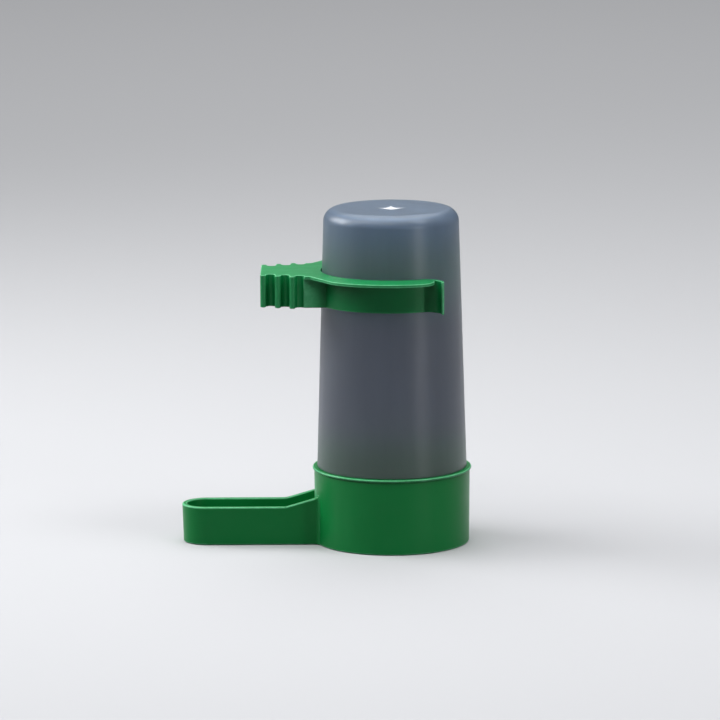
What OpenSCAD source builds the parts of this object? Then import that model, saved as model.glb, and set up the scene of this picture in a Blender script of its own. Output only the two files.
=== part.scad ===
// A gravity drinker for a bird cage, in three mouldings that push and snap together:
// a base with a round collar and a drinking trough, a bottle that plugs into the
// collar with its mouth down, and a C-shaped clip that snaps round the bottle and
// grips two cage bars in the notches of its stem.
// Millimetres. The origin is on the bottle's axis at the underside of the base.
// The trough and the stem point along -X, and +Z is up.

/* [Bottle] */
// Outer diameter of the bottle at its foot, just above the collar
bottle_foot_d = 36.1; // [34:0.1:40]
// Height of the bottle from the collar's top to its own closed top
bottle_h = 62.9; // [56:0.1:90]
// Draft of the bottle's outer wall in degrees
bottle_draft = 1.7; // [1:0.1:2.2]
// Wall of the bottle near its closed top
bottle_wall = 1.1; // [0.8:0.05:1.6]
// Radius that rounds the closed top
top_round = 3.2; // [2:0.1:5]
// Radius of the shallow dimple in the closed top
dimple_r = 3.6; // [2:0.1:6]
// Depth of that dimple
dimple_depth = 0.3; // [0.1:0.05:0.6]
// Radius of the moulding gate's mark in the dimple
gate_r = 0.6; // [0.3:0.1:1.2]
// Height of the gate's mark
gate_h = 0.25; // [0.1:0.05:0.5]
// Length of the plug that goes down into the collar
plug_depth = 12.4; // [8:0.1:14]
// Wall of the plug at its mouth
plug_wall = 0.85; // [0.7:0.05:1.2]
// Width of the shoulder that rests on the collar's top
shoulder_w = 0.5; // [0.3:0.05:0.9]
// Chamfer that leads the plug into the collar
plug_lead = 0.4; // [0.2:0.05:0.6]

/* [Base] */
// Height of the collar
collar_h = 18.4; // [16:0.1:26]
// Wall of the collar at its top
collar_wall = 1.2; // [1:0.05:2]
// Draft of the collar's outer wall in degrees, wider at the top
collar_draft = 0.5; // [0.2:0.1:1.2]
// Clearance between the plug and the collar's bore, on the radius
plug_gap = 0.05; // [0.02:0.01:0.1]
// Radius of the bead round the collar's lip
lip_bead_r = 0.45; // [0.3:0.05:0.8]
// How far the bead stands out from the collar's wall
lip_proud = 0.36; // [0.2:0.02:0.6]
// Thickness of the floor of the collar and the trough
floor_t = 1.2; // [1:0.05:2]
// Radius that rounds the outer edge of the underside
foot_round = 0.4; // [0.2:0.05:0.8]
// Radius of the fillet inside, between floor and walls
floor_round = 1.5; // [0.8:0.1:2.4]

/* [Trough] */
// Reach of the trough's tip from the bottle's axis
trough_reach = 50.8; // [42:0.1:65]
// Outer width of the trough at its rim
trough_w = 12.2; // [10:0.1:16]
// Height of the trough's rim
trough_h = 9.4; // [8:0.1:12]
// Wall of the trough
trough_wall = 1.2; // [1:0.05:1.8]
// Draft of the trough's walls in degrees
trough_draft = 1.75; // [0.5:0.25:3]
// Length over which the rim slopes up to the collar
slope_run = 6.9; // [4:0.1:12]
// How much the rim rises over that length
slope_rise = 2; // [1:0.1:3]
// Height of the water port through the collar's wall, above the floor
port_h = 6.8; // [5:0.1:7.5]
// How much narrower the port is than the trough's channel, on each side
port_inset = 0.4; // [0.2:0.05:1]

/* [Clip] */
// Height of the clip's underside above the base's underside
clip_z = 58.5; // [30:0.5:62]
// Height of the clip
clip_h = 7.8; // [6:0.1:12]
// Wall of the clip's ring, flares and stem
clip_wall = 1.1; // [0.8:0.05:1.3]
// Clearance on the radius between the ring's straight bore and the bottle, at the ring's underside
clip_gap = 0.12; // [0.08:0.01:0.25]
// Thickness of the clip's flat top plate
plate_t = 0.7; // [0.5:0.05:1.2]
// Radius of the flange that the plate makes round the ring
flange_r = 24; // [22:0.1:28]
// Half the angle of the ring's mouth, measured from +X, in degrees
mouth_half_angle = 63.6; // [58:0.2:72]
// Inner radius of the flared end of each arm
flare_r = 3.7; // [3:0.1:5]
// Distance from the axis to the flange's straight ends, which meet the flares
flange_end_x = 10.1; // [9.4:0.1:10.8]
// Radius that rounds the flange's corner at each of those ends
flange_corner_r = 5; // [3:0.5:8]
// Angle between the stem and the flange's straight edges beside it, in degrees
flange_slant = 58; // [52:1:64]
// Radius that blends those straight edges into the flange's round edge
flange_blend = 12; // [6:0.5:16]

/* [Stem] */
// Radius of the notches that hold the cage bars
notch_r = 1; // [0.8:0.05:1.6]
// Distance between neighbouring notches along the stem
notch_pitch = 3.5; // [3.4:0.1:5]
// Number of notches on each side of the stem
notch_count = 3; // [2:1:4]
// Distance from the ring's wall to the centre of the nearest notch
neck_l = 3.8; // [3:0.1:7]
// Distance between the centres of the two bars in the narrowest pair of notches
bar_spacing_min = 14.5; // [13:0.5:18]
// How much each pair of notches is wider than the pair before it
bar_spacing_step = 2.25; // [1:0.25:3]
// Thickness of the fins that stand between the notches
fin_t = 1.4; // [1:0.05:1.5]
// How far the narrowest fin reaches past the centres of its notches
fin_reach = 1.05; // [0.6:0.05:2]
// How far the neck's sides stand outside the deepest point of the last notch
neck_side = 0.6; // [0.2:0.05:0.8]
// How far the plate's edge reaches past the centre of the last notch where the flange starts
flange_start = 0.8; // [0.4:0.05:1.2]
// Thickness of the rib along the middle of the stem's hollow underside
rib_t = 0.8; // [0.6:0.05:1.4]

/* [Hidden] */
$fn = 96;
// Length by which a cutting shape runs past the faces that it cuts
past = 1;
// A length larger than the whole drinker, for cutting shapes that have no end
far = 200;

green = [0.10, 0.42, 0.25];
light_green = [0.16, 0.50, 0.32];
frosted = [0.66, 0.71, 0.74, 0.45];

// Bottle and plug
bottle_foot_r = bottle_foot_d / 2;
plug_r = bottle_foot_r - shoulder_w;
mouth_z = collar_h - plug_depth;
bottle_top = collar_h + bottle_h;
inner_mouth_r = plug_r - plug_wall;
inner_top = bottle_top - bottle_wall;
inner_round = max(top_round - bottle_wall, bottle_wall);
// The inside is one straight taper from the mouth to the rounded top
inner_top_r = bottle_r(bottle_top - top_round) - bottle_wall;
inner_draft = atan((inner_mouth_r - inner_top_r) / (bottle_top - top_round - mouth_z));
dimple_sphere_r = (dimple_r * dimple_r + dimple_depth * dimple_depth) / (2 * dimple_depth);

// Collar
bore_r = plug_r + plug_gap;
collar_r = bore_r + collar_wall;
collar_foot_r = collar_r - collar_h * tan(collar_draft);
lip_r = collar_r + lip_proud;

// Trough
trough_rim_half = trough_w / 2;
trough_end_x = trough_rim_half - trough_reach;
trough_foot_half = trough_rim_half - trough_h * tan(trough_draft);
channel_foot_half = trough_rim_half - trough_wall - (trough_h - floor_t) * tan(trough_draft);
slope = slope_rise / slope_run;
// Height to which the trough is built before its rim is cut
trough_build_h = trough_h + slope * (slope_run + collar_r);

// Ring and flares of the clip
clip_top = clip_z + clip_h;
plate_z = clip_top - plate_t;
clip_bore_r = bottle_r(clip_z) + clip_gap;
ring_r = clip_bore_r + clip_wall;
ring_end = [ring_r * cos(mouth_half_angle), -ring_r * sin(mouth_half_angle)];
flare_centre = ring_end - [0, flare_r];
flare_outer_r = flare_r + clip_wall;
flare_tip = flare_centre + [flare_outer_r, 0];
// Centre of the round corner between the flange's end and its round edge
corner_x = flange_end_x - flange_corner_r;
corner_centre = [corner_x, -sqrt(pow(flange_r - flange_corner_r, 2) - pow(corner_x, 2))];
// Angle by which a flare starts inside the ring's wall
flare_overlap = 25;

// Stem: notch 0 is the one at the tip, the last one is next to the ring
last_notch = notch_count - 1;
last_notch_x = -(ring_r + neck_l);
neck_half = notch_y(last_notch) - notch_r + neck_side;
neck_start_x = last_notch_x + notch_r;

// The flange starts with a short edge along the stem, as wide as a fin and one pitch from the last
flange_start_x = last_notch_x + notch_pitch / 2 - fin_t / 2;
flange_start_half = notch_y(last_notch) + flange_start;
// Blend at the far end of the flange's slanting edge, which follows that short edge
edge_start = [flange_start_x + fin_t, flange_start_half];
edge_along = [cos(flange_slant), sin(flange_slant)];
edge_out = [-sin(flange_slant), cos(flange_slant)];
blend_in = edge_out * edge_start - flange_blend;
blend_centre = edge_out * blend_in + edge_along * sqrt(pow(flange_r - flange_blend, 2) - pow(blend_in, 2));
blend_out = blend_centre / norm(blend_centre);
blend_corner = blend_centre + (edge_out + blend_out) * flange_blend / (1 + edge_out * blend_out);

// Outer radius of the bottle at height z
function bottle_r(z) = bottle_foot_r - (z - collar_h) * tan(bottle_draft);
// Centre of notch i along the stem, and how far it lies from the stem's middle
function notch_x(i) = last_notch_x - (last_notch - i) * notch_pitch;
function notch_y(i) = (bar_spacing_min + i * bar_spacing_step) / 2;
// Middle of the fin on the tip's side of notch i, and half its width
function fin_x(i) = notch_x(i) - notch_pitch / 2;
function fin_half(i) = notch_y(i) + fin_reach;

// Half profile that narrows upwards, with its top edge rounded
module half_narrowing_up(foot_r, height, draft, round_r) {
    centre_z = height - round_r;
    centre_x = foot_r - centre_z * tan(draft) - round_r / cos(draft);
    polygon([
        [0, 0],
        [foot_r, 0],
        [centre_x + round_r * cos(draft), centre_z + round_r * sin(draft)],
        [centre_x, height],
        [0, height]
    ]);
    translate([centre_x, centre_z]) circle(r = round_r);
}

// Half profile that widens upwards, with its bottom edge rounded
module half_widening_up(foot_r, height, draft, round_r) {
    centre_x = foot_r - round_r * (1 - sin(draft)) / cos(draft);
    polygon([
        [0, 0],
        [centre_x, 0],
        [centre_x + round_r * cos(draft), round_r * (1 - sin(draft))],
        [foot_r + height * tan(draft), height],
        [0, height]
    ]);
    translate([centre_x, round_r]) circle(r = round_r);
}

// Outside of the bottle with its plug, shoulder and dimpled top
module bottle_outside() {
    difference() {
        union() {
            translate([0, collar_h])
                half_narrowing_up(bottle_foot_r, bottle_h, bottle_draft, top_round);
            polygon([
                [0, mouth_z],
                [plug_r - plug_lead, mouth_z],
                [plug_r, mouth_z + plug_lead],
                [plug_r, collar_h + past],
                [0, collar_h + past]
            ]);
        }
        translate([0, bottle_top + dimple_sphere_r - dimple_depth]) circle(r = dimple_sphere_r, $fn = 360);
    }
    translate([0, inner_top + dimple_depth])
        square([gate_r, bottle_wall - 2 * dimple_depth + gate_h]);
}

// Inside of the bottle, running out past its mouth
module bottle_inside() {
    translate([0, mouth_z - past])
        half_narrowing_up(inner_mouth_r + past * tan(inner_draft), inner_top - mouth_z + past,
                          inner_draft, inner_round);
}

module water_bottle() {
    color(frosted)
    rotate_extrude()
    difference() {
        bottle_outside();
        bottle_inside();
    }
}

// Solid of the trough or of its channel: a half-round end and a straight run to x_end
module trough_form(foot_half, height, round_r, x_end) {
    translate([trough_end_x, 0, 0])
        rotate_extrude(start = 90, angle = 180)
        half_widening_up(foot_half, height, trough_draft, round_r);
    trough_run(foot_half, height, round_r, trough_end_x, x_end);
}

// Straight run of the trough's section along X
module trough_run(foot_half, height, round_r, x_start, x_end) {
    translate([x_start, 0, 0])
        rotate([90, 0, 90])
        linear_extrude(x_end - x_start) {
            half_widening_up(foot_half, height, trough_draft, round_r);
            mirror([1, 0]) half_widening_up(foot_half, height, trough_draft, round_r);
        }
}

// Everything above the rim, which is level and then slopes up to the collar
module above_trough_rim() {
    rotate([90, 0, 0])
        linear_extrude(trough_w + 2 * past, center = true)
        polygon([
            [-far, trough_h],
            [-(collar_r + slope_run), trough_h],
            [past, trough_build_h + past * slope],
            [past, far],
            [-far, far]
        ]);
}

// The trough, open at the top and ending inside the collar's wall
module trough() {
    difference() {
        trough_form(trough_foot_half, trough_build_h, foot_round, 0);
        translate([0, 0, floor_t])
            trough_form(channel_foot_half, trough_build_h, floor_round, past);
        above_trough_rim();
        translate([0, 0, -past])
            cylinder(r = collar_foot_r - collar_wall / 2, h = far);
    }
}

// The collar with its floor, its lip's bead and a true round bore for the plug
module collar() {
    rotate_extrude()
    difference() {
        union() {
            half_widening_up(collar_foot_r, collar_h, collar_draft, foot_round);
            translate([lip_r - lip_bead_r, collar_h - lip_bead_r]) circle(r = lip_bead_r);
        }
        translate([0, floor_t]) half_widening_up(bore_r, collar_h, 0, floor_round);
    }
}

module drinking_base() {
    color(green)
    difference() {
        union() {
            collar();
            trough();
        }
        translate([0, 0, floor_t])
            trough_run(channel_foot_half - port_inset, port_h, floor_round,
                       -(collar_r + past), -(bore_r - 2 * floor_round));
    }
}

// One side of the stem seen from above: fins with round ends and the cells that hold the notches.
// The neck beside the last notch is as wide as its caller asks.
module stem_side(neck) {
    for (i = [0 : last_notch]) {
        translate([fin_x(i) - fin_t / 2, 0]) square([fin_t, fin_half(i) - fin_t / 2]);
        translate([fin_x(i), fin_half(i) - fin_t / 2]) circle(r = fin_t / 2);
        difference() {
            translate([fin_x(i), 0]) square([i < last_notch ? notch_pitch : notch_pitch / 2, notch_y(i)]);
            translate([notch_x(i), notch_y(i)]) circle(r = notch_r);
        }
    }
    difference() {
        translate([last_notch_x, 0]) square([-last_notch_x, neck]);
        translate([notch_x(last_notch), notch_y(last_notch)]) circle(r = notch_r);
    }
}

// Hollow of one side of the stem's underside, between its middle rib and its skirt
module stem_hollow_side() {
    inset = notch_r + clip_wall;
    hollow_x = fin_x(0) + fin_t / 2;
    widening = bar_spacing_step / 2 / notch_pitch;
    start_half = notch_y(0) + (hollow_x - notch_x(0)) * widening - inset;
    polygon([
        [hollow_x, rib_t / 2],
        [hollow_x, start_half],
        [last_notch_x, notch_y(last_notch) - inset],
        [neck_start_x, neck_half - clip_wall],
        [0, neck_half - clip_wall],
        [0, rib_t / 2]
    ]);
}

// Both sides of a shape that is drawn for +Y
module both_sides() {
    children();
    mirror([0, 1]) children();
}

// Flared end of the front arm seen from above
module flare() {
    intersection() {
        translate(flare_centre)
        difference() {
            circle(r = flare_outer_r);
            circle(r = flare_r);
        }
        translate(flare_centre)
            polygon([
                [0, 0],
                [far, 0],
                [far, far],
                [-far * tan(flare_overlap), far]
            ]);
    }
}

// What the mouth takes out of the ring and its flange, up to the flares' outer faces
module mouth_opening() {
    difference() {
        polygon([
            [0, 0],
            ring_end,
            flare_centre,
            flare_tip,
            [far, flare_tip.y],
            [far, -flare_tip.y],
            [flare_tip.x, -flare_tip.y],
            [flare_centre.x, -flare_centre.y],
            [ring_end.x, -ring_end.y]
        ]);
        both_sides() translate(flare_centre) circle(r = flare_outer_r);
    }
}

// What lies beyond the flange's straight end and its round corner
module flange_corner() {
    translate([flange_end_x, corner_centre.y]) square([far, far]);
    difference() {
        polygon([
            corner_centre,
            corner_centre + [far, 0],
            [far, -far],
            corner_centre * far / norm(corner_centre)
        ]);
        translate(corner_centre) circle(r = flange_corner_r);
    }
}

// What the straight edge beside the stem and its blend take off the flange
module flange_side_cut() {
    polygon([
        edge_start,
        edge_start + edge_along * far,
        [-far, far],
        [-far, flange_start_half]
    ]);
    difference() {
        polygon([
            blend_centre,
            blend_centre + edge_out * flange_blend,
            blend_corner,
            blend_centre + blend_out * flange_blend
        ]);
        translate(blend_centre) circle(r = flange_blend);
    }
}

// The whole top plate seen from above, without the mouth and the bottle's bore
module plate_outline() {
    difference() {
        circle(r = flange_r, $fn = 180);
        both_sides() flange_corner();
        both_sides() flange_side_cut();
        translate([-far, -flange_start_half]) square([far + flange_start_x, 2 * flange_start_half]);
    }
    both_sides() stem_side(notch_y(last_notch));
}

// The ring before its mouth and its bore are cut
module ring_wall() {
    translate([0, 0, clip_z]) cylinder(r = ring_r, h = clip_h);
}

// Bore for the bottle, past both ends of the clip. It is straight, so only the ring's underside
// holds the tapered bottle.
module bottle_space() {
    translate([0, 0, clip_z - past]) cylinder(r = clip_bore_r, h = clip_h + 2 * past);
}

module cage_clip() {
    color(light_green)
    difference() {
        union() {
            difference() {
                union() {
                    translate([0, 0, plate_z]) linear_extrude(plate_t) plate_outline();
                    ring_wall();
                }
                translate([0, 0, clip_z - past])
                    linear_extrude(clip_h + 2 * past)
                    mouth_opening();
            }
            translate([0, 0, clip_z])
                linear_extrude(clip_h)
                both_sides() flare();
            translate([0, 0, clip_z])
                linear_extrude(clip_h)
                difference() {
                    both_sides() stem_side(neck_half);
                    both_sides() stem_hollow_side();
                    circle(r = ring_r - clip_wall / 2);
                }
        }
        bottle_space();
    }
}

drinking_base();
water_bottle();
cage_clip();
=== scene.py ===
"""Looks of a gravity drinker for a bird cage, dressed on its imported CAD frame.

Three mouldings: a green base with a round collar and a drinking trough, a frosted
bottle that plugs into the collar, and a green clip that snaps round the bottle.
Sizes are in millimetres and turn into metres where a mesh is made.
The trough and the clip's stem point along -X, the camera looks along +Y.
"""

import math

import bmesh
import bpy
from mathutils import Matrix, Vector


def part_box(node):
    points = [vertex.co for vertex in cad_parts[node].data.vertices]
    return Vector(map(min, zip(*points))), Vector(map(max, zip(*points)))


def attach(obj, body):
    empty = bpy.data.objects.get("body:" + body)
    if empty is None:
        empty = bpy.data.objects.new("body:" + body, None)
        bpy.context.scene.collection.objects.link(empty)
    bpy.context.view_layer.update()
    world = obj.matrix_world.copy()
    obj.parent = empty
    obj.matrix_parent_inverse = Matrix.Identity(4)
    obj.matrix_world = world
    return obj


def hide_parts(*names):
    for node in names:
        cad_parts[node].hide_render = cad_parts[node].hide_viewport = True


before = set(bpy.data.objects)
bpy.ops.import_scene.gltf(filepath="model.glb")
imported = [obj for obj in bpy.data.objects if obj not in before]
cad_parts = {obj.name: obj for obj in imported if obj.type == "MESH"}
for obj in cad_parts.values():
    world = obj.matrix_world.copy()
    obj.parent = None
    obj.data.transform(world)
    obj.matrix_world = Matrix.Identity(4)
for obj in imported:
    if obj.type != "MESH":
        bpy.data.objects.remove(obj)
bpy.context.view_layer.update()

MM = 0.001


def node_box(name):
    """Lowest and highest corner of a CAD node, in millimetres."""
    return [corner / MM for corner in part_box(name)]


def srgb(red, green, blue):
    """A colour written as 0 to 255, turned to Blender's linear values."""
    def linear(value):
        value /= 255
        return value / 12.92 if value <= 0.04045 else ((value + 0.055) / 1.055) ** 2.4
    return (linear(red), linear(green), linear(blue), 1)


base_low, base_high = node_box("drinking_base")
bottle_low, bottle_high = node_box("water_bottle")
clip_low, clip_high = node_box("cage_clip")

# Fineness of curves: segments of a full turn, and degrees between the points of an arc
TURN_SEGMENTS = 192
ARC_STEP = 11.25
BOTTLE_STEP = 7.5
FLARE_STEP = 6
CORNER_STEP = 6
FLARE_OUTER_STEP = 5
POCKET_STEP = 4
BLEND_STEP = 3
RING_STEP = 2
EDGE_STEPS = 4
# Share of a step that an arc may be too long by without getting one more point
STEP_SLACK = 1e-9
# Width of the strip beside each arc that keeps the flat next to it shaded flat
GUARD = 0.06
# Points closer than this merge: in millimetres while a mesh is drawn, in metres once it is done
MERGE_MM = 1e-4
SLIVER_MM = 1e-5
MERGE = 1e-7
# Edges that turn by more degrees than this stay sharp
SHARP_ANGLE = 32
# Bend at a point, in radians, from which an edge starts to get the highlight painted on it, and from
# which it fully does
EDGE_BEND_MIN = 0.16
EDGE_BEND_MAX = 0.34

# Collar
COLLAR_WALL = 1.2
COLLAR_DRAFT = math.radians(0.5)
LIP_PROUD = 0.36
LIP_BEAD = 0.6
LIP_ROUND = 0.28
LIP_ROOT_ROUND = 0.06
LIP_INNER_ROUND = 0.15
FOOT_ROUND = 0.4
FLOOR_T = 1.2
FLOOR_ROUND = 1.5
lip_r = base_high.x
collar_h = base_high.z
collar_r = lip_r - LIP_PROUD
bore_r = collar_r - COLLAR_WALL
collar_foot_r = collar_r - collar_h * math.tan(COLLAR_DRAFT)

# Trough
TROUGH_W = 12.2
TROUGH_H = 9.4
TROUGH_WALL = 1.2
TROUGH_DRAFT = math.radians(1.75)
TROUGH_END_STEPS = 48
RIM_ROUND = 0.36
SLOPE_RUN = 6.9
SLOPE_RISE = 2
# Length over which the rim's bend is softened
SLOPE_BEND = 0.25
# Fillet where the trough's sides run into the collar, and how far out its sections bend round it
ROOT_FILLET = 0.5
ROOT_STEPS = 6
ROOT_BEND = 4
# Distances past the fillet, and from the rim's bend in units of its softening, with a section
SLOPE_STATIONS = (0.4, 1, 1.8, 2.8, 4, 5.2)
BEND_STATIONS = (3, 1.5, 0.8, 0, -0.8, -1.5, -3)
FLAT_STATIONS = 8
PORT_H = 6.8
PORT_INSET = 0.4
PORT_PAST = 1
trough_half = TROUGH_W / 2
trough_lean = math.tan(TROUGH_DRAFT)
trough_end_x = base_low.x + trough_half
slope_start_x = -(collar_r + SLOPE_RUN)

# Bottle
BOTTLE_DRAFT = math.radians(1.7)
BOTTLE_WALL = 1.1
TOP_ROUND = 3.2
DIMPLE_R = 3.6
DIMPLE_DEPTH = 0.3
DIMPLE_STEPS = 8
SHOULDER_W = 0.5
SHOULDER_ROUND = 0.2
PLUG_WALL = 0.85
PLUG_LEAD = 0.4
bottle_top = bottle_high.z
mouth_z = bottle_low.z
bottle_foot_r = bottle_high.x
plug_r = bottle_foot_r - SHOULDER_W

# Star left by the torn gate: reach of its points, how drawn in its sides are, its height and
# how fast it rises, how deep it is rooted, and its points and rings
STAR_REACH = 3.1
STAR_BEND = 0.7
STAR_H = 0.28
STAR_RISE = 1.5
STAR_ROOT = 0.2
STAR_POINTS = 64
STAR_STEPS = 6

# Clip
CLIP_WALL = 1.1
CLIP_GAP = 0.12
PLATE_T = 0.7
MOUTH_HALF_ANGLE = math.radians(63.6)
FLARE_R = 3.7
# Wall of the flare at its tip, and the angle over which it thins
FLARE_TIP = 0.6
FLARE_TAPER = math.radians(60)
FLANGE_END_X = 10.1
FLANGE_CORNER_R = 5
FLANGE_SLANT = math.radians(58)
FLANGE_BLEND = 12
EDGE_ROUND = 0.16
clip_z = clip_low.z
clip_top = clip_high.z
plate_z = clip_top - PLATE_T
flange_r = clip_high.y

# Stem
NOTCH_R = 1
NOTCH_PITCH = 3.5
NOTCH_COUNT = 3
BAR_SPACING_MIN = 14.5
BAR_SPACING_STEP = 2.25
FIN_T = 1.4
FIN_REACH = 1.05
NECK_SIDE = 0.6
FLANGE_START = 0.8
START_ROUND = 0.25
SLANT_ROUND = 0.8
RIB_T = 0.8
POCKET_ROUND = 0.3

# Noises: scale per metre, detail and roughness
FLOW_NOISE = (90, 3, 0.55)
GLOSS_NOISE = (240, 4, 0.6)
GRAIN_NOISE = (2600, 2, 0.5)
EDGE_HIGHLIGHT_NOISE = (700, 2, 0.5)
STREAK_NOISE = (260, 3, 0.5)
FROST_NOISE = (300, 4, 0.6)
CRAZING_NOISE = (1500, 3, 0.6)
# Part of a noise's values that is spread out between two ends
NOISE_LOW = 0.3
NOISE_HIGH = 0.7

# Green mouldings: two shades each, the paler shade painted on their convex edges as a highlight, and how
# much of it shows
BASE_GREENS = (srgb(8, 124, 58), srgb(12, 130, 63))
CLIP_GREENS = (srgb(15, 130, 70), srgb(20, 136, 75))
EDGE_HIGHLIGHT_SHADE = srgb(110, 205, 150)
EDGE_HIGHLIGHT_SHARE = (0.5, 0.8)
# How both greens take and scatter light
GREEN_ROUGHNESS = (0.32, 0.4)
GREEN_IOR = 1.5
GREEN_SPECULAR = 0.22
GREEN_SUBSURFACE = 0.08
GREEN_SCATTER = (0.4, 1.0, 0.6)
GRAIN_STRENGTH = 0.25
# How deep light scatters in a green moulding, and how deep its grain is, in metres
SCATTER_DEPTH = 0.0008
GRAIN_DEPTH = 0.00001

# Frosted plastic: darker and lighter streaks at its foot, in its middle, by the clip and at
# its top, with a greenish tint at the foot and by the clip that is painted green light from the
# collar and the clip, the heights between which they change, and how far the streaks are drawn out
FROST_SHADES = (
    (srgb(108, 134, 126), srgb(122, 148, 140)),
    (srgb(118, 126, 140), srgb(134, 142, 156)),
    (srgb(120, 146, 150), srgb(138, 164, 168)),
    (srgb(128, 150, 174), srgb(148, 170, 194)),
)
FROST_CHANGES = ((21, 32), (52, 66), (67, 80))
STREAK_STRETCH = 0.08
FROST_ROUGHNESS = (0.34, 0.38)
FROST_CLEARNESS = 0.78
FROST_SPECULAR = 0.8
FROST_IOR = 1.46
# Plastic whitened where the gate was torn off and painted brighter still as the glint on its star, and
# its roughness
TORN_AND_GLINT_SHADES = (srgb(215, 219, 228), srgb(240, 242, 248))
TORN_ROUGHNESS = 0.3

# Studio: floor and backdrop in millimetres, their shade as it is seen and as it bounces light,
# and how bright the air is where it is seen and where it lights the object
FLOOR_FRONT = -1500
FLOOR_HALF = 2200
BACKDROP_Y = 2100
BACKDROP_TOP = 1800
SWEEP_ROUND = 500
SWEEP_STEP = 6
CARD_SHADE = srgb(193, 194, 197)
CARD_BOUNCE = srgb(40, 41, 43)
CARD_ROUGHNESS = 0.9
AIR_COLOUR = (0.94, 0.96, 1.0, 1)
AIR_SEEN = 0.80
AIR_LIGHT = 0.02
# Lamps: name, place and target in metres, width, height, watts and spread in degrees
LAMPS = (
    ("overhead", (0, 0.75, 1.5), (0, 0.75, 0), 1.6, 2.6, 28, 180),
    ("right_high", (0.62, -0.26, 0.86), (0, 0, 0.04), 0.35, 0.35, 0.67, 90),
    ("left_high", (-0.62, -0.26, 0.86), (0, 0, 0.04), 0.35, 0.35, 0.52, 90),
    ("left_back", (-0.64, 0.16, 0.40), (0, 0, 0.05), 0.58, 0.34, 1.35, 90),
    ("right_strip", (0.50, -0.47, 0.10), (0, 0, 0.05), 0.07, 0.34, 0.2, 90),
    ("front_high", (-0.10, -0.55, 0.82), (0, 0, 0.04), 0.75, 0.25, 0.62, 90),
)

# Camera fitted to the photograph: place in millimetres, turns in radians, focal length in pixels
# of its frame, width of its sensor in millimetres, and the distances in metres that it sees
CAMERA_PLACE = (-7.6, -1117.6, 243.5)
CAMERA_PITCH = 0.17646
CAMERA_ROLL = -0.00494
FOCAL_PIXELS = 4713.8
FRAME_PIXELS = 720
SENSOR = 36
NEAREST_SEEN = 0.05
FURTHEST_SEEN = 10


# Outlines

def arc(centre, radius, start, end, step=ARC_STEP):
    """Points on an arc from one angle to another, both in radians, ends included."""
    count = max(1, math.ceil(abs(end - start) / math.radians(step) - STEP_SLACK))
    angles = [start + (end - start) * i / count for i in range(count + 1)]
    return [Vector((centre[0] + radius * math.cos(a), centre[1] + radius * math.sin(a)))
            for a in angles]


def rounded(corners, step=ARC_STEP):
    """Path through corners (x, y, radius). Arcs replace the corners that have a radius,
    and a guard point beside each arc keeps the flats shaded flat."""
    path = []
    for i, (x, y, radius) in enumerate(corners):
        here = Vector((x, y))
        if not radius:
            path.append(here)
            continue
        back = (Vector(corners[i - 1][:2]) - here).normalized()
        ahead = (Vector(corners[(i + 1) % len(corners)][:2]) - here).normalized()
        half = back.angle(ahead) / 2
        reach = radius / math.tan(half)
        centre = here + (back + ahead).normalized() * (radius / math.sin(half))
        first = here + back * reach - centre
        turn = math.copysign(math.pi - 2 * half, back.x * ahead.y - back.y * ahead.x)
        start = math.atan2(first.y, first.x)
        path.append(here + back * (reach + GUARD))
        path += arc(centre, radius, start, start - turn, step)
        path.append(here + ahead * (reach + GUARD))
    return path


def mirrored(path):
    """The same path on the other side of the X axis, run the other way."""
    return [Vector((p.x, -p.y)) for p in reversed(path)]


def inset(loop, depth):
    """A counter-clockwise closed loop moved inwards by depth, with mitred corners."""
    moved = []
    for i, here in enumerate(loop):
        along_in = (here - loop[i - 1]).normalized()
        along_out = (loop[(i + 1) % len(loop)] - here).normalized()
        normal_in = Vector((-along_in.y, along_in.x))
        normal_out = Vector((-along_out.y, along_out.x))
        mitre = (normal_in + normal_out) / (1 + normal_in.dot(normal_out))
        moved.append(here + mitre * depth)
    return moved


# Meshes

def new_object(name, content):
    """An object at the origin that holds a mesh, a light or a camera."""
    thing = bpy.data.objects.new(name, content)
    bpy.context.scene.collection.objects.link(thing)
    return thing


def finish_mesh(name, bm):
    """A closed mesh from bm, its doubles merged, normals outwards, sizes turned to metres."""
    bmesh.ops.remove_doubles(bm, verts=bm.verts, dist=MERGE_MM)
    bmesh.ops.dissolve_degenerate(bm, edges=bm.edges, dist=SLIVER_MM)
    bmesh.ops.recalc_face_normals(bm, faces=bm.faces)
    bmesh.ops.scale(bm, vec=(MM, MM, MM), verts=bm.verts)
    mesh = bpy.data.meshes.new(name)
    bm.to_mesh(mesh)
    bm.free()
    shade(mesh)
    return mesh


def shade(mesh):
    """Smooth shading, except over edges that turn by more than the sharp angle."""
    mesh.shade_smooth()
    bm = bmesh.new()
    bm.from_mesh(mesh)
    limit = math.radians(SHARP_ANGLE)
    for edge in bm.edges:
        edge.smooth = not (edge.is_manifold and edge.calc_face_angle(0) > limit)
    bm.to_mesh(mesh)
    bm.free()


def mark_edges(mesh):
    """Stores how strongly each point lies on a convex rounding, for the highlight painted on convex
    edges.
    """
    bm = bmesh.new()
    bm.from_mesh(mesh)
    bends = []
    for vert in bm.verts:
        bend = sum(edge.calc_face_angle_signed(0) for edge in vert.link_edges if edge.is_manifold)
        bends.append(min(1, max(0, (bend - EDGE_BEND_MIN) / (EDGE_BEND_MAX - EDGE_BEND_MIN))))
    bm.free()
    marks = mesh.attributes.new("edge_mark", "FLOAT", "POINT")
    marks.data.foreach_set("value", bends)


def skin(bm, ring_a, ring_b, closed=True):
    """Quads between two rows of vertices of the same length."""
    count = len(ring_a) if closed else len(ring_a) - 1
    for i in range(count):
        j = (i + 1) % len(ring_a)
        bm.faces.new((ring_a[i], ring_a[j], ring_b[j], ring_b[i]))


def fill(bm, *loops):
    """Flat triangles inside closed loops of vertices; the loops after the first are holes."""
    edges = []
    for loop in loops:
        for i, vert in enumerate(loop):
            edge = bm.edges.get((vert, loop[i - 1]))
            edges.append(edge or bm.edges.new((vert, loop[i - 1])))
    bmesh.ops.triangle_fill(bm, use_beauty=True, use_dissolve=False, edges=edges)


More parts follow.
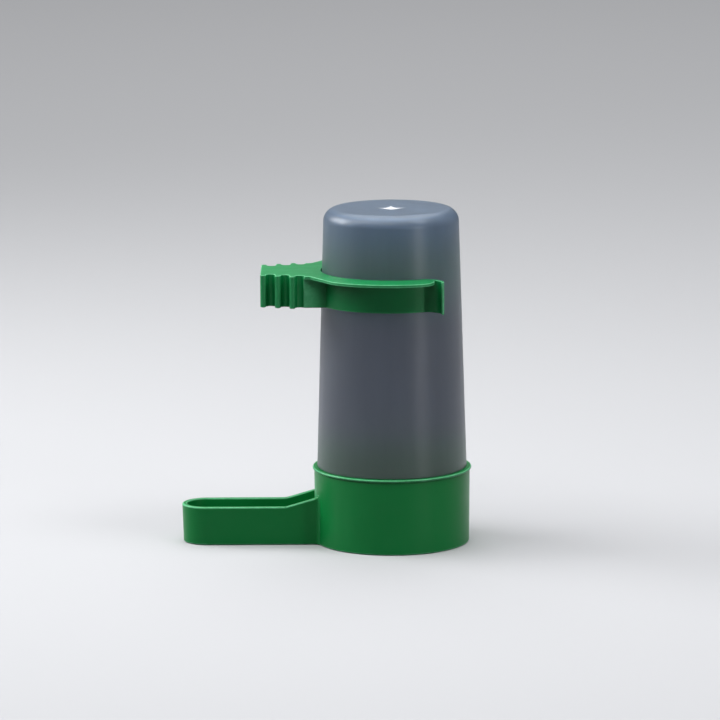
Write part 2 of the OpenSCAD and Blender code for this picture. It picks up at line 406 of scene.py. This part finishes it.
def combine(target, tool, operation):
    """Exact Boolean of two closed pieces; the tool is deleted."""
    cut = target.modifiers.new("combine", "BOOLEAN")
    cut.object = tool
    cut.operation = operation
    cut.solver = "EXACT"
    take_result(target)
    clean(target.data)
    bpy.data.objects.remove(tool)


def clean(mesh):
    """Merges points that coincide, drops faces without area and turns normals outwards."""
    bm = bmesh.new()
    bm.from_mesh(mesh)
    bmesh.ops.remove_doubles(bm, verts=bm.verts, dist=MERGE)
    bmesh.ops.dissolve_degenerate(bm, edges=bm.edges, dist=MERGE)
    bmesh.ops.recalc_face_normals(bm, faces=bm.faces)
    bm.to_mesh(mesh)
    bm.free()


def take_result(thing):
    """Turns what the object's modifiers make into its own plain mesh."""
    bpy.context.view_layer.update()
    graph = bpy.context.evaluated_depsgraph_get()
    mesh = bpy.data.meshes.new_from_object(thing.evaluated_get(graph))
    thing.modifiers.clear()
    thing.data = mesh


# Turned bodies

def turning_tree():
    """Geometry Nodes that turn a profile, given as a row of points, round the Z axis."""
    tree = bpy.data.node_groups.new("turned_body", "GeometryNodeTree")
    face = tree.interface
    face.new_socket("Profile", in_out="INPUT", socket_type="NodeSocketGeometry")
    segments = face.new_socket("Segments", in_out="INPUT", socket_type="NodeSocketInt")
    segments.default_value = TURN_SEGMENTS
    merge = face.new_socket("Merge distance", in_out="INPUT", socket_type="NodeSocketFloat")
    merge.default_value = MERGE
    face.new_socket("Material", in_out="INPUT", socket_type="NodeSocketMaterial")
    face.new_socket("Body", in_out="OUTPUT", socket_type="NodeSocketGeometry")
    nodes, links = tree.nodes, tree.links

    def node(kind, **settings):
        made = nodes.new(kind)
        for key, value in settings.items():
            setattr(made, key, value)
        return made

    def maths(kind, operation, a, b):
        made = node(kind, operation=operation)
        for socket, value in zip(made.inputs, (a, b)):
            if hasattr(value, "links"):
                links.new(value, socket)
            else:
                socket.default_value = value
        return made.outputs[0]

    given = node("NodeGroupInput")
    size = node("GeometryNodeAttributeDomainSize", component="MESH")
    links.new(given.outputs["Profile"], size.inputs[0])
    rows = size.outputs["Point Count"]
    columns = maths("FunctionNodeIntegerMath", "ADD", given.outputs["Segments"], 1)
    grid = node("GeometryNodeMeshGrid")
    links.new(columns, grid.inputs["Vertices X"])
    links.new(rows, grid.inputs["Vertices Y"])
    index = node("GeometryNodeInputIndex").outputs[0]
    row = maths("FunctionNodeIntegerMath", "MODULO", index, rows)
    column = maths("FunctionNodeIntegerMath", "DIVIDE_FLOOR", index, rows)
    place = node("GeometryNodeInputPosition").outputs[0]
    sample = node("GeometryNodeSampleIndex", data_type="FLOAT_VECTOR", domain="POINT")
    links.new(given.outputs["Profile"], sample.inputs["Geometry"])
    links.new(place, sample.inputs["Value"])
    links.new(row, sample.inputs["Index"])
    share = maths("ShaderNodeMath", "DIVIDE", column, given.outputs["Segments"])
    turn = maths("ShaderNodeMath", "MULTIPLY", share, math.tau)
    spin = node("ShaderNodeVectorRotate", rotation_type="Z_AXIS")
    links.new(sample.outputs["Value"], spin.inputs["Vector"])
    links.new(turn, spin.inputs["Angle"])
    move = node("GeometryNodeSetPosition")
    links.new(grid.outputs["Mesh"], move.inputs["Geometry"])
    links.new(spin.outputs[0], move.inputs["Position"])
    join = node("GeometryNodeMergeByDistance")
    links.new(move.outputs[0], join.inputs["Geometry"])
    links.new(given.outputs["Merge distance"], join.inputs["Distance"])
    smooth = node("GeometryNodeSetShadeSmooth")
    links.new(join.outputs[0], smooth.inputs["Geometry"])
    real = node("GeometryNodeRealizeInstances")
    links.new(smooth.outputs[0], real.inputs[0])
    paint = node("GeometryNodeSetMaterial")
    links.new(real.outputs[0], paint.inputs["Geometry"])
    links.new(given.outputs["Material"], paint.inputs["Material"])
    out = node("NodeGroupOutput")
    links.new(paint.outputs[0], out.inputs[0])
    return tree


def turned(name, tree, profile, material):
    """A closed body turned from a profile of (radius, height) that starts and ends on the axis."""
    mesh = bpy.data.meshes.new(name)
    points = [(p.x * MM, 0, p.y * MM) for p in profile]
    mesh.from_pydata(points, [(i, i + 1) for i in range(len(points) - 1)], [])
    body = new_object(name, mesh)
    lathe = body.modifiers.new("turning", "NODES")
    lathe.node_group = tree
    sockets = {s.name: s.identifier for s in tree.interface.items_tree if s.in_out == "INPUT"}
    lathe[sockets["Segments"]] = TURN_SEGMENTS
    lathe[sockets["Merge distance"]] = MERGE
    lathe[sockets["Material"]] = material
    take_result(body)
    clean(body.data)
    shade(body.data)
    return body


def bottle_r(z):
    """Outer radius of the bottle at height z."""
    return bottle_foot_r - (z - collar_h) * math.tan(BOTTLE_DRAFT)


def dimple_height(r):
    """Height of the shallow dimple in the bottle's top at radius r."""
    return bottle_top - DIMPLE_DEPTH * (1 - (r / DIMPLE_R) ** 2)


def bottle_profile():
    """From the middle of the dimpled top, down the outside, round the mouth and up inside."""
    inner_mouth_r = plug_r - PLUG_WALL
    inner_top = bottle_top - BOTTLE_WALL
    inner_round = TOP_ROUND - BOTTLE_WALL
    inner_top_r = bottle_r(bottle_top - TOP_ROUND) - BOTTLE_WALL
    inner_slope = (inner_mouth_r - inner_top_r) / (bottle_top - TOP_ROUND - mouth_z)
    dimple = [(r, dimple_height(r), 0)
              for r in (DIMPLE_R * k / DIMPLE_STEPS for k in range(DIMPLE_STEPS))]
    return rounded([
        *dimple,
        (DIMPLE_R, bottle_top, 0),
        (DIMPLE_R + DIMPLE_DEPTH, bottle_top, 0),
        (bottle_r(bottle_top), bottle_top, TOP_ROUND),
        (bottle_foot_r, collar_h, SHOULDER_ROUND),
        (plug_r, collar_h, 0),
        (plug_r, mouth_z + PLUG_LEAD, 0),
        (plug_r - PLUG_LEAD, mouth_z, 0),
        (inner_mouth_r, mouth_z, 0),
        (inner_top_r - inner_slope * inner_round, inner_top, inner_round),
        (0, inner_top, 0),
    ], BOTTLE_STEP)


def gate_star_mesh():
    """A low star with four drawn-out points, left in the dimple where the gate was torn off."""
    bm = bmesh.new()
    around = [math.tau * k / STAR_POINTS for k in range(STAR_POINTS)]
    reach = []
    for a in around:
        drawn_in = abs(math.cos(a)) ** STAR_BEND + abs(math.sin(a)) ** STAR_BEND
        reach.append(STAR_REACH / drawn_in ** (1 / STAR_BEND))

    def ring(share, rise):
        return [bm.verts.new((share * r * math.cos(a), share * r * math.sin(a),
                              dimple_height(share * r) + rise))
                for r, a in zip(reach, around)]

    rings = [ring(1, -STAR_ROOT), ring(1, 0)]
    for step in range(1, STAR_STEPS):
        rings.append(ring(1 - step / STAR_STEPS, STAR_H * (step / STAR_STEPS) ** STAR_RISE))
    tip = bm.verts.new((0, 0, dimple_height(0) + STAR_H))
    root = bm.verts.new((0, 0, dimple_height(0) - STAR_ROOT))
    for a, b in zip(rings, rings[1:]):
        skin(bm, a, b)
    for i in range(STAR_POINTS):
        bm.faces.new((rings[-1][i - 1], rings[-1][i], tip))
        bm.faces.new((rings[0][i], rings[0][i - 1], root))
    return finish_mesh("gate_star", bm)


def collar_profile():
    """From the middle of the underside up the outside, over the lip's bead and down inside."""
    bead_z = collar_h - LIP_BEAD
    return rounded([
        (0, 0, 0),
        (collar_foot_r, 0, FOOT_ROUND),
        (collar_foot_r + bead_z * math.tan(COLLAR_DRAFT), bead_z, LIP_ROOT_ROUND),
        (lip_r, bead_z, LIP_ROUND),
        (lip_r, collar_h, LIP_ROUND),
        (bore_r, collar_h, LIP_INNER_ROUND),
        (bore_r, FLOOR_T, FLOOR_ROUND),
        (0, FLOOR_T, 0),
    ])


# Trough

def trough_section(rim_z, flare):
    """Half of the trough's section, from the middle of its underside to the middle of its floor."""
    foot = trough_half - TROUGH_H * trough_lean
    rim = foot + rim_z * trough_lean
    return rounded([
        (0, 0, 0),
        (foot + flare, 0, FOOT_ROUND),
        (rim + flare, rim_z, RIM_ROUND),
        (rim - TROUGH_WALL, rim_z, RIM_ROUND),
        (foot + FLOOR_T * trough_lean - TROUGH_WALL, FLOOR_T, FLOOR_ROUND),
        (0, FLOOR_T, 0),
    ])


def rim_height(x):
    """Height of the trough's rim: level, then sloping up to the collar, with a soft bend."""
    past = x - slope_start_x
    slope = SLOPE_RISE / SLOPE_RUN
    return TROUGH_H + slope * (past + math.hypot(past, SLOPE_BEND)) / 2


def trough_stations():
    """Places along the trough where its section is drawn, from inside the collar's wall out."""
    quarter = [math.pi / 2 * k / ROOT_STEPS for k in range(ROOT_STEPS, -1, -1)]
    inside = [-(collar_r - COLLAR_WALL / 2)]
    root = [-(collar_r + ROOT_FILLET * (1 - math.sin(a))) for a in quarter]
    slope = [-(collar_r + ROOT_FILLET + d) for d in SLOPE_STATIONS]
    bend = [slope_start_x + d * SLOPE_BEND for d in BEND_STATIONS]
    length = bend[-1] - trough_end_x
    flat = [bend[-1] - length * k / FLAT_STATIONS for k in range(1, FLAT_STATIONS)]
    return inside + root + slope + bend + flat + [trough_end_x + GUARD]


def station_x(x, r):
    """X of a section's point at distance r from its middle: near the collar it bends round it."""
    reach = max(0, 1 - max(-x - collar_r, 0) / ROOT_BEND)
    bend = reach * reach * (3 - 2 * reach)
    return x + bend * (-x - math.sqrt(x * x - r * r))


def root_flare(x):
    """How much the fillet at the trough's root widens the section at x."""
    away = min(max(-x - collar_r, 0), ROOT_FILLET)
    return ROOT_FILLET - math.sqrt(ROOT_FILLET ** 2 - (ROOT_FILLET - away) ** 2)


def trough_mesh():
    """The trough as sections set along its straight run and round its end."""
    left = []
    for x in trough_stations():
        flare = root_flare(x)
        section = trough_section(rim_height(station_x(x, trough_half)) + flare, flare)
        left.append([(station_x(x, p.x), p.x, p.y) for p in section])
    right = [[(x, -y, z) for x, y, z in ring] for ring in reversed(left)]
    end_section = trough_section(TROUGH_H, 0)
    turns = [math.pi / 2 + math.pi * k / TROUGH_END_STEPS for k in range(TROUGH_END_STEPS + 1)]
    end = [[(trough_end_x + p.x * math.cos(a), p.x * math.sin(a), p.y) for p in end_section]
           for a in turns]
    bm = bmesh.new()
    rows = [[bm.verts.new(p) for p in ring] for ring in left + end + right]
    for row_a, row_b in zip(rows, rows[1:]):
        skin(bm, row_a, row_b, closed=False)
    bm.faces.new(rows[0])
    bm.faces.new(rows[-1][::-1])
    return finish_mesh("trough", bm)


def port_mesh():
    """The water port: the channel's shape, a little narrower, through the collar's wall."""
    foot = trough_half - TROUGH_WALL - (TROUGH_H - FLOOR_T) * trough_lean - PORT_INSET
    half = rounded([
        (0, FLOOR_T, 0),
        (foot, FLOOR_T, FLOOR_ROUND),
        (foot + PORT_H * trough_lean, FLOOR_T + PORT_H, 0),
        (0, FLOOR_T + PORT_H, 0),
    ])
    outline = half + [Vector((-p.x, p.y)) for p in half[-2:0:-1]]
    bm = bmesh.new()
    rows = [[bm.verts.new((x, p.x, p.y)) for p in outline]
            for x in (-(collar_r + PORT_PAST), -(bore_r - 2 * FLOOR_ROUND))]
    skin(bm, *rows)
    for row in rows:
        fill(bm, row)
    return finish_mesh("port", bm)


# Clip

def notch_x(i):
    """Place along the stem of its notches i, counted from the tip."""
    return last_notch_x - (last_notch - i) * NOTCH_PITCH


def notch_y(i):
    """Distance from the stem's middle to the middle of a cage bar in notch i."""
    return (BAR_SPACING_MIN + i * BAR_SPACING_STEP) / 2


last_notch = NOTCH_COUNT - 1
clip_bore_r = bottle_r(clip_z) + CLIP_GAP
ring_r = clip_bore_r + CLIP_WALL
# The fin at the stem's tip starts the stem, and the last notch lies next to the neck
last_notch_x = clip_low.x + NOTCH_PITCH / 2 + FIN_T / 2 + last_notch * NOTCH_PITCH
neck_half = notch_y(last_notch) - NOTCH_R + NECK_SIDE
neck_start_x = last_notch_x + NOTCH_R
flange_start_x = last_notch_x + (NOTCH_PITCH - FIN_T) / 2
flange_start_half = notch_y(last_notch) + FLANGE_START
ring_end = Vector((math.cos(MOUTH_HALF_ANGLE), -math.sin(MOUTH_HALF_ANGLE))) * ring_r
flare_centre = ring_end - Vector((0, FLARE_R))
flare_outer_r = FLARE_R + CLIP_WALL
# Angle on the flare's inner face where the flange's straight end meets it
flange_meet = math.acos((FLANGE_END_X - flare_centre.x) / FLARE_R)


def notch_side(i):
    """Centre and radius of the round bottom between two fins on the stem's front side."""
    radius = (NOTCH_PITCH - FIN_T) / 2
    return (notch_x(i), -(notch_y(i) - NOTCH_R + radius)), radius


def neck_angle():
    """Where the last notch's round bottom runs out into the neck's flat side."""
    centre, radius = notch_side(last_notch)
    return math.asin((-neck_half - centre[1]) / radius)


def stem_edge():
    """Front side of the stem, from its tip to the neck's corner: round fins and notches."""
    path = []
    fin_r = FIN_T / 2
    for i in range(NOTCH_COUNT):
        crest = (notch_x(i) - NOTCH_PITCH / 2, -(notch_y(i) + FIN_REACH - fin_r))
        path += arc(crest, fin_r, math.pi, 2 * math.pi, ARC_STEP / 2)
        centre, radius = notch_side(i)
        end = neck_angle() if i == last_notch else 0
        path += arc(centre, radius, math.pi, end)
    return path


def flange_front():
    """Front edge of the flange, from the last notch's side to the flare's inner face."""
    along = Vector((math.cos(FLANGE_SLANT), -math.sin(FLANGE_SLANT)))
    outward = Vector((-math.sin(FLANGE_SLANT), -math.cos(FLANGE_SLANT)))
    start = Vector((flange_start_x + FIN_T, -flange_start_half))
    depth = outward.dot(start) - FLANGE_BLEND
    centre = outward * depth + along * math.sqrt((flange_r - FLANGE_BLEND) ** 2 - depth ** 2)
    angle_in = math.atan2(outward.y, outward.x)
    angle_out = math.atan2(centre.y, centre.x)
    blend = arc(centre, FLANGE_BLEND, angle_in, angle_out, BLEND_STEP)
    notch_centre, notch_r = notch_side(last_notch)
    notch = arc(notch_centre, notch_r, neck_angle(), 0)
    root = rounded([
        (*notch[-1], 0),
        (flange_start_x, -flange_start_half, START_ROUND),
        (*start, SLANT_ROUND),
        (*blend[0], 0),
    ])
    corner_x = FLANGE_END_X - FLANGE_CORNER_R
    corner_y = -math.sqrt((flange_r - FLANGE_CORNER_R) ** 2 - corner_x ** 2)
    corner_angle = math.atan2(corner_y, corner_x)
    rim = arc((0, 0), flange_r, angle_out, corner_angle, RING_STEP)
    corner = arc((corner_x, corner_y), FLANGE_CORNER_R, corner_angle, 0, CORNER_STEP)
    return notch[1:-1] + root[:-1] + [blend[0] - along * GUARD, *blend, *rim[1:], *corner[1:]]


def ring_front():
    """Front wall below the plate, from the neck along the ring to where the flange ends."""
    root_angle = math.atan2(-neck_half, -math.sqrt(ring_r ** 2 - neck_half ** 2))
    ring = arc((0, 0), ring_r, root_angle, -MOUTH_HALF_ANGLE, RING_STEP)
    flare = arc(flare_centre, FLARE_R, math.pi / 2, flange_meet, FLARE_STEP)
    return ring + flare[1:-1]


def flare_outside():
    """Outer face of the flare, from its tip to the bore; its wall thins towards the tip."""
    reach = flare_centre.length
    to_bore = math.acos((reach ** 2 + flare_outer_r ** 2 - clip_bore_r ** 2)
                        / (2 * reach * flare_outer_r))
    back = math.atan2(-flare_centre.y, -flare_centre.x)
    flare = arc(flare_centre, flare_outer_r, 0, back - to_bore, FLARE_OUTER_STEP)
    for point in flare:
        out = point - flare_centre
        thinning = max(0, 1 - math.atan2(out.y, out.x) / FLARE_TAPER)
        radius = flare_outer_r - (CLIP_WALL - FLARE_TIP) * thinning
        point.xy = flare_centre + out.normalized() * radius
    return flare


def mouth_front():
    """From the flange's end round the flare's tip to the bore, and round the bore to the stem's side."""
    inner = arc(flare_centre, FLARE_R, flange_meet, 0, FLARE_STEP)
    tip_centre = flare_centre + Vector((FLARE_R + FLARE_TIP / 2, 0))
    tip = arc(tip_centre, FLARE_TIP / 2, -math.pi, 0)
    flare = flare_outside()
    joint = flare[-1]
    bore = arc((0, 0), clip_bore_r, math.atan2(joint.y, joint.x), -math.pi, RING_STEP)
    return inner + tip[1:] + flare[1:] + bore[1:]


def pocket():
    """Hollow under the front half of the stem, from its tip to the ring's wall, clockwise."""
    inset_y = NOTCH_R + CLIP_WALL
    start_x = notch_x(0) - NOTCH_PITCH / 2 + FIN_T / 2
    widening = BAR_SPACING_STEP / 2 / NOTCH_PITCH
    start_half = notch_y(0) + (start_x - notch_x(0)) * widening - inset_y
    side = neck_half - CLIP_WALL
    near = math.asin(RIB_T / 2 / ring_r)
    far = math.asin(side / ring_r)
    wall = arc((0, 0), ring_r, math.pi + near, math.pi + far, POCKET_STEP)
    corners = rounded([
        (wall[-1].x, -side, 0),
        (neck_start_x, -side, POCKET_ROUND),
        (last_notch_x, -(notch_y(last_notch) - inset_y), POCKET_ROUND),
        (start_x, -start_half, POCKET_ROUND),
        (start_x, -RIB_T / 2, POCKET_ROUND),
        (wall[0].x, -RIB_T / 2, 0),
    ])
    return corners + wall[1:-1]


def edge_levels(z, sign):
    """Insets and heights of a rounded edge, from its flat to its wall; sign is 1 for a top edge."""
    quarter = [math.pi / 2 * k / EDGE_STEPS for k in range(EDGE_STEPS + 1)]
    curve = [(EDGE_ROUND * (1 - math.sin(a)), z - sign * EDGE_ROUND * (1 - math.cos(a)))
             for a in quarter]
    return [(EDGE_ROUND + GUARD, z)] + curve + [(0, z - sign * (EDGE_ROUND + GUARD))]


def clip_mesh():
    """The clip: one plate outline above, the walls' outline below, and two pockets."""
    bm = bmesh.new()
    stem = mirrored(stem_edge()) + stem_edge()
    front, walls, mouth = flange_front(), ring_front(), mouth_front()
    mouth = mouth + mirrored(mouth)[1:]
    plate_loop = stem + front + mouth + mirrored(front)
    wall_loop = stem + walls + mouth + mirrored(walls)

    def ring(loop, depth, z):
        return [bm.verts.new((p.x, p.y, z)) for p in inset(loop, depth)]

    upper = [ring(plate_loop, depth, z) for depth, z in edge_levels(clip_top, 1)]
    step = ring(plate_loop, 0, plate_z)
    for a, b in zip(upper, upper[1:] + [step]):
        skin(bm, a, b)
    fill(bm, upper[0])

    # The flange's underside joins the plate's outline to the walls' outline below it
    front_start = len(stem)
    mouth_start = front_start + len(front)
    back_start = mouth_start + len(mouth)
    step_stem, step_front = step[:front_start], step[front_start:mouth_start]
    step_mouth, step_back = step[mouth_start:back_start], step[back_start:]
    inner_front = [bm.verts.new((p.x, p.y, plate_z)) for p in walls]
    inner_back = [bm.verts.new((p.x, p.y, plate_z)) for p in mirrored(walls)]
    wall_top = step_stem + inner_front + step_mouth + inner_back
    fill(bm, [step_stem[-1]] + step_front + [step_mouth[0]] + inner_front[::-1])
    fill(bm, [step_mouth[-1]] + step_back + [step_stem[0]] + inner_back[::-1])

    lower = [ring(wall_loop, depth, z) for depth, z in edge_levels(clip_z, -1)]
    for a, b in zip([wall_top] + lower[::-1], lower[::-1]):
        skin(bm, a, b)
    pockets = []
    for hole in (pocket(), mirrored(pocket())):
        rings = [ring(hole, depth, z) for depth, z in edge_levels(clip_z, -1)]
        roof = ring(hole, 0, plate_z)
        for a, b in zip(rings, rings[1:] + [roof]):
            skin(bm, a, b)
        fill(bm, roof)
        pockets.append(rings[0])
    fill(bm, lower[0], *pockets)
    return finish_mesh("cage_clip", bm)


# Materials

def material(name):
    """A material with one surface shader, and the coordinates of the piece it is on."""
    made = bpy.data.materials.new(name)
    made.use_nodes = True
    nodes, links = made.node_tree.nodes, made.node_tree.links
    nodes.clear()
    out = nodes.new("ShaderNodeOutputMaterial")
    body = nodes.new("ShaderNodeBsdfPrincipled")
    links.new(body.outputs[0], out.inputs["Surface"])
    place = nodes.new("ShaderNodeTexCoord").outputs["Object"]
    return made, nodes, links, body, place


def noise(nodes, links, coordinates, settings):
    """A noise with the given scale, detail and roughness."""
    made = nodes.new("ShaderNodeTexNoise")
    for name, value in zip(("Scale", "Detail", "Roughness"), settings):
        made.inputs[name].default_value = value
    links.new(coordinates, made.inputs["Vector"])
    return made.outputs["Fac"]


def spread(nodes, links, value, source, ends):
    """A node that spreads the source range of a value out between two ends."""
    made = nodes.new("ShaderNodeMapRange")
    for name, number in zip(("From Min", "From Max", "To Min", "To Max"), (*source, *ends)):
        made.inputs[name].default_value = number
    links.new(value, made.inputs["Value"])
    return made


def between(nodes, links, value, ends):
    """A noise's value spread out between two ends."""
    return spread(nodes, links, value, (NOISE_LOW, NOISE_HIGH), ends).outputs["Result"]


def mixed(nodes, links, share, colour_a, colour_b):
    """A colour between two, each given as four numbers or as a node's output."""
    made = nodes.new("ShaderNodeMix")
    made.data_type = "RGBA"
    links.new(share, made.inputs["Factor"])
    for name, colour in (("A", colour_a), ("B", colour_b)):
        if hasattr(colour, "links"):
            links.new(colour, made.inputs[name])
        else:
            made.inputs[name].default_value = colour
    return made.outputs["Result"]


def moulded_plastic(name, shades):
    """Glossy coloured moulding: faint flow marks, a paler highlight painted on convex edges, fine
    unevenness in its gloss.
    """
    made, nodes, links, body, place = material(name)
    tint = mixed(nodes, links, noise(nodes, links, place, FLOW_NOISE), *shades)
    # Convex edges are painted paler, in patches, as a highlight
    mark = nodes.new("ShaderNodeAttribute")
    mark.attribute_name = "edge_mark"
    edge_highlight = nodes.new("ShaderNodeMath")
    edge_highlight.operation = "MULTIPLY"
    links.new(mark.outputs["Fac"], edge_highlight.inputs[0])
    patches = noise(nodes, links, place, EDGE_HIGHLIGHT_NOISE)
    links.new(between(nodes, links, patches, EDGE_HIGHLIGHT_SHARE), edge_highlight.inputs[1])
    links.new(mixed(nodes, links, edge_highlight.outputs[0], tint, EDGE_HIGHLIGHT_SHADE), body.inputs["Base Color"])
    gloss = noise(nodes, links, place, GLOSS_NOISE)
    links.new(between(nodes, links, gloss, GREEN_ROUGHNESS), body.inputs["Roughness"])
    grain = nodes.new("ShaderNodeBump")
    grain.inputs["Strength"].default_value = GRAIN_STRENGTH
    grain.inputs["Distance"].default_value = GRAIN_DEPTH
    links.new(noise(nodes, links, place, GRAIN_NOISE), grain.inputs["Height"])
    links.new(grain.outputs[0], body.inputs["Normal"])
    body.inputs["IOR"].default_value = GREEN_IOR
    body.inputs["Specular IOR Level"].default_value = GREEN_SPECULAR
    body.inputs["Subsurface Weight"].default_value = GREEN_SUBSURFACE
    body.inputs["Subsurface Radius"].default_value = GREEN_SCATTER
    body.inputs["Subsurface Scale"].default_value = SCATTER_DEPTH
    return made


def frosted_plastic():
    """Milky see-through moulding that blurs what lies behind it, with faint drawn streaks and a tint
    that changes with height, greenish at the foot and by the clip as painted green light from the collar
    and the clip.
    """
    made, nodes, links, body, place = material("frosted_plastic")
    drawn = nodes.new("ShaderNodeMapping")
    drawn.inputs["Scale"].default_value = (1, 1, STREAK_STRETCH)
    links.new(place, drawn.inputs["Vector"])
    streaks = noise(nodes, links, drawn.outputs[0], STREAK_NOISE)
    height = nodes.new("ShaderNodeSeparateXYZ")
    links.new(place, height.inputs[0])
    colour, *higher = [mixed(nodes, links, streaks, *shades) for shades in FROST_SHADES]
    # The shade changes with height; at the foot and by the clip its greenish tint is painted green light
    # from the collar and the clip
    for shade_above, change in zip(higher, FROST_CHANGES):
        heights = [z * MM for z in change]
        above = spread(nodes, links, height.outputs["Z"], heights, (0, 1))
        above.interpolation_type = "SMOOTHSTEP"
        colour = mixed(nodes, links, above.outputs["Result"], colour, shade_above)
    links.new(colour, body.inputs["Base Color"])
    gloss = noise(nodes, links, place, FROST_NOISE)
    links.new(between(nodes, links, gloss, FROST_ROUGHNESS), body.inputs["Roughness"])
    body.inputs["Transmission Weight"].default_value = FROST_CLEARNESS
    body.inputs["IOR"].default_value = FROST_IOR
    body.inputs["Specular IOR Level"].default_value = FROST_SPECULAR
    return made


def torn_plastic():
    """The same plastic where the gate was torn off: whitened, painted bright as the glint on the star,
    and no longer see-through.
    """
    made, nodes, links, body, place = material("torn_plastic")
    crazing = noise(nodes, links, place, CRAZING_NOISE)
    links.new(mixed(nodes, links, crazing, *TORN_AND_GLINT_SHADES), body.inputs["Base Color"])
    body.inputs["Roughness"].default_value = TORN_ROUGHNESS
    body.inputs["IOR"].default_value = FROST_IOR
    return made


# Studio

def studio():
    """Pale floor that curves up into a backdrop, and soft lamps."""
    bm = bmesh.new()
    sweep = rounded([(FLOOR_FRONT, 0, 0), (BACKDROP_Y, 0, SWEEP_ROUND),
                     (BACKDROP_Y, BACKDROP_TOP, 0)], SWEEP_STEP)
    rows = [[bm.verts.new((x, p.x, p.y)) for p in sweep] for x in (-FLOOR_HALF, FLOOR_HALF)]
    skin(bm, *rows, closed=False)
    bmesh.ops.scale(bm, vec=(MM, MM, MM), verts=bm.verts)
    mesh = bpy.data.meshes.new("studio_floor")
    bm.to_mesh(mesh)
    bm.free()
    mesh.shade_smooth()
    mesh.materials.append(pale_card())
    new_object("studio_floor", mesh)
    studio_air()
    for settings in LAMPS:
        lamp(*settings)


def seen_directly(nodes, links):
    """1 for rays from the camera, a reflection or a see-through piece, and 0 for bounced light."""
    path = nodes.new("ShaderNodeLightPath")
    total = path.outputs["Is Camera Ray"]
    for name in ("Is Glossy Ray", "Is Transmission Ray"):
        add = nodes.new("ShaderNodeMath")
        add.operation = "MAXIMUM"
        links.new(total, add.inputs[0])
        links.new(path.outputs[name], add.inputs[1])
        total = add.outputs[0]
    return total


def pale_card():
    """Matt pale card, which gives less bounced light than its shade would."""
    made, nodes, links, body, _ = material("pale_card")
    seen = seen_directly(nodes, links)
    links.new(mixed(nodes, links, seen, CARD_BOUNCE, CARD_SHADE), body.inputs["Base Color"])
    body.inputs["Roughness"].default_value = CARD_ROUGHNESS
    body.inputs["Specular IOR Level"].default_value = 0
    return made


def studio_air():
    """Pale surroundings that show in reflections and give the object little light."""
    world = bpy.data.worlds.new("studio_air")
    bpy.context.scene.world = world
    world.use_nodes = True
    nodes, links = world.node_tree.nodes, world.node_tree.links
    air = nodes["Background"]
    air.inputs["Color"].default_value = AIR_COLOUR
    level = spread(nodes, links, seen_directly(nodes, links), (0, 1), (AIR_LIGHT, AIR_SEEN))
    links.new(level.outputs["Result"], air.inputs["Strength"])


def lamp(name, place, target, width, height, power, beam):
    """A soft rectangular lamp that points from its place to its target."""
    light = bpy.data.lights.new(name, "AREA")
    light.shape = "RECTANGLE"
    light.size = width
    light.size_y = height
    light.energy = power
    light.spread = math.radians(beam)
    thing = new_object(name, light)
    aim = (Vector(target) - Vector(place)).to_track_quat("-Z", "Y")
    thing.matrix_world = Matrix.Translation(place) @ aim.to_matrix().to_4x4()


def camera():
    """A camera that looks along +Y, a little downwards and a trace rolled."""
    made = bpy.data.cameras.new("camera")
    made.sensor_width = SENSOR
    made.lens = SENSOR * FOCAL_PIXELS / FRAME_PIXELS
    made.clip_start = NEAREST_SEEN
    made.clip_end = FURTHEST_SEEN
    thing = new_object("camera", made)
    tilt = Matrix.Rotation(math.pi / 2 - CAMERA_PITCH, 4, "X")
    roll = Matrix.Rotation(CAMERA_ROLL, 4, "Z")
    place = Matrix.Translation(Vector(CAMERA_PLACE) * MM)
    thing.matrix_world = place @ tilt @ roll
    bpy.context.scene.camera = thing


# Assembly

def settle(piece, body, node):
    """Ties a finished piece to the frame: hides the CAD node it replaces and hangs it on the body it
    rides on.
    """
    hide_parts(node)
    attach(piece, body)


def finished_in(mesh, *finishes):
    """Gives a mesh these materials and no others."""
    mesh.materials.clear()
    for finish in finishes:
        mesh.materials.append(finish)


def make_base(lathe):
    """The turned collar with the trough joined on and the port cut through its wall."""
    green = moulded_plastic("green_plastic", BASE_GREENS)
    base = turned("drinking_base_moulding", lathe, collar_profile(), green)
    combine(base, new_object("trough", trough_mesh()), "UNION")
    combine(base, new_object("port", port_mesh()), "DIFFERENCE")
    finished_in(base.data, green)
    shade(base.data)
    mark_edges(base.data)
    settle(base, "base", "drinking_base")


def make_bottle(lathe):
    """The turned bottle with the torn gate's star on its top."""
    frosted = frosted_plastic()
    torn = torn_plastic()
    bottle = turned("water_bottle_moulding", lathe, bottle_profile(), frosted)
    star = new_object("gate_star", gate_star_mesh())
    finished_in(bottle.data, frosted, torn)
    finished_in(star.data, frosted, torn)
    # The star's faces take the whitened plastic with its painted glint
    for face in star.data.polygons:
        face.material_index = 1
    combine(bottle, star, "UNION")
    shade(bottle.data)
    settle(bottle, "bottle", "water_bottle")


def make_clip():
    """The clip, already in its place round the bottle."""
    clip = new_object("cage_clip_moulding", clip_mesh())
    finished_in(clip.data, moulded_plastic("clip_plastic", CLIP_GREENS))
    mark_edges(clip.data)
    settle(clip, "clip", "cage_clip")


def main():
    lathe = turning_tree()
    make_base(lathe)
    make_bottle(lathe)
    make_clip()
    studio()
    camera()
    bpy.context.scene.view_settings.view_transform = "Standard"


main()
